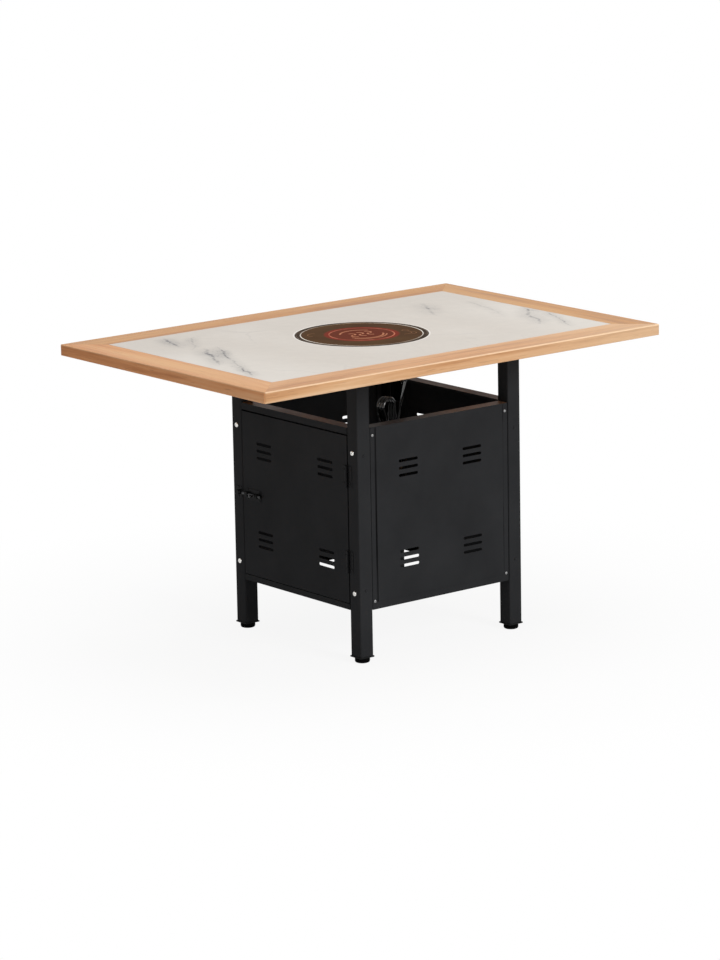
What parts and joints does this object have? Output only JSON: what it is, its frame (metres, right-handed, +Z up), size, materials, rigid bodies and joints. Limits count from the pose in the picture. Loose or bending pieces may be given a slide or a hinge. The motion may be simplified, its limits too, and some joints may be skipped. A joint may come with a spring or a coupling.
{
  "type": "hotpot table",
  "caption": "Rectangular hotpot table with a stone slab in a wooden edge, a flush round induction hob, and a steel cabinet base with a hinged door.",
  "frame": {"origin": "on the floor under the middle of the top", "axes": "+X along the table's length, +Z up, the door on the -X side"},
  "size_m": [1.2, 0.8, 0.7323],
  "materials": {
    "oak_edge": "clear satin lacquer",
    "marble_slab": "polished sintered stone",
    "core_wood": "raw plywood",
    "hob_ring": "satin dark metal",
    "polished_ring": "polished",
    "hob_glass": "dark brown printed glass-ceramic",
    "zinc_sheet": "galvanised sheet",
    "copper_winding": "enamelled copper",
    "black_plastic": "moulded plastic",
    "ferrite": "sintered ferrite",
    "circuit_board": "solder mask",
    "heat_sink": "extruded",
    "black_steel": "black powder coat, slight gloss",
    "plated_steel": "bright zinc plating",
    "dark_hardware": "dark satin",
    "bolt_steel": "blackened steel",
    "cord_sheath": "smooth PVC sheath",
    "plug_plastic": "moulded PVC",
    "pin_brass": "plain brass",
    "foot_rubber": "moulded foot"
  },
  "bodies": {
    "base": {"edge_front": "oak_edge", "edge_back": "oak_edge", "edge_left": "oak_edge", "edge_right": "oak_edge", "stone_slab": "marble_slab", "core_board": "core_wood", "cap_near": "black_plastic", "cap_left": "black_plastic", "cap_right": "black_plastic", "cap_far": "black_plastic", "leg_near": "black_steel", "leg_left": "black_steel", "leg_right": "black_steel", "leg_far": "black_steel", "front_panel": "black_steel", "back_panel": "black_steel", "right_panel": "black_steel", "door_frame": "black_steel", "panel_angles": "black_steel", "frame_screws": "black_steel", "top_screws": "plated_steel", "leg_screws": "plated_steel", "leg_nuts": "plated_steel", "panel_screws": "plated_steel", "upper_frame_leaf": "dark_hardware", "lower_frame_leaf": "dark_hardware", "upper_pin": "dark_hardware", "lower_pin": "dark_hardware", "latch_keeper": "dark_hardware", "frame_rivets": "dark_hardware"},
    "door": {"door": "black_steel", "upper_door_leaf": "dark_hardware", "lower_door_leaf": "dark_hardware", "latch_body": "dark_hardware", "door_rivets": "dark_hardware"},
    "latch_bolt": {"latch_bolt": "bolt_steel"},
    "hob": {"hob_trim_ring": "hob_ring", "hob_bezel": "polished_ring", "hob_glass": "hob_glass", "hob_housing": "zinc_sheet", "hob_coil": "copper_winding", "coil_carrier": "black_plastic", "ferrite_bars": "ferrite", "power_board": "circuit_board", "heat_sink": "heat_sink", "fan_frame": "black_plastic", "fan_guard": "black_plastic", "hob_screws": "plated_steel", "cord_gland": "black_plastic", "cord_lead": "cord_sheath", "cord_hank": "cord_sheath", "cord_tail": "cord_sheath", "cord_tie": "black_plastic", "plug_body": "plug_plastic", "plug_pins": "pin_brass"},
    "fan": {"fan_rotor": "black_plastic"},
    "foot_near": {"foot_near": "foot_rubber"},
    "foot_left": {"foot_left": "foot_rubber"},
    "foot_right": {"foot_right": "foot_rubber"},
    "foot_far": {"foot_far": "foot_rubber"}
  },
  "joints": [
    {"name": "door_swing", "type": "hinge", "parent": "base", "child": "door", "pos_m": [-0.2164, -0.203, 0.3455], "axis": [0, 0, 1], "range_deg": [0, 175]},
    {"name": "latch_slide", "type": "slide", "parent": "door", "child": "latch_bolt", "axis": [0, 1, 0], "range_m": [0, 0.016]},
    {"name": "hob_lift", "type": "slide", "parent": "base", "child": "hob", "axis": [0, 0, 1], "range_m": [0, 0.09]},
    {"name": "fan_spin", "type": "hinge", "parent": "hob", "child": "fan", "pos_m": [-0.06, 0, 0.665], "axis": [0, 0, 1], "continuous": true},
    {"name": "foot_near_turn", "type": "hinge", "parent": "base", "child": "foot_near", "pos_m": [-0.194, -0.223, 0.01], "axis": [0, 0, 1], "continuous": true},
    {"name": "foot_left_turn", "type": "hinge", "parent": "base", "child": "foot_left", "pos_m": [-0.194, 0.223, 0.01], "axis": [0, 0, 1], "continuous": true},
    {"name": "foot_right_turn", "type": "hinge", "parent": "base", "child": "foot_right", "pos_m": [0.27, -0.223, 0.01], "axis": [0, 0, 1], "continuous": true},
    {"name": "foot_far_turn", "type": "hinge", "parent": "base", "child": "foot_far", "pos_m": [0.27, 0.223, 0.01], "axis": [0, 0, 1], "continuous": true}
  ]
}
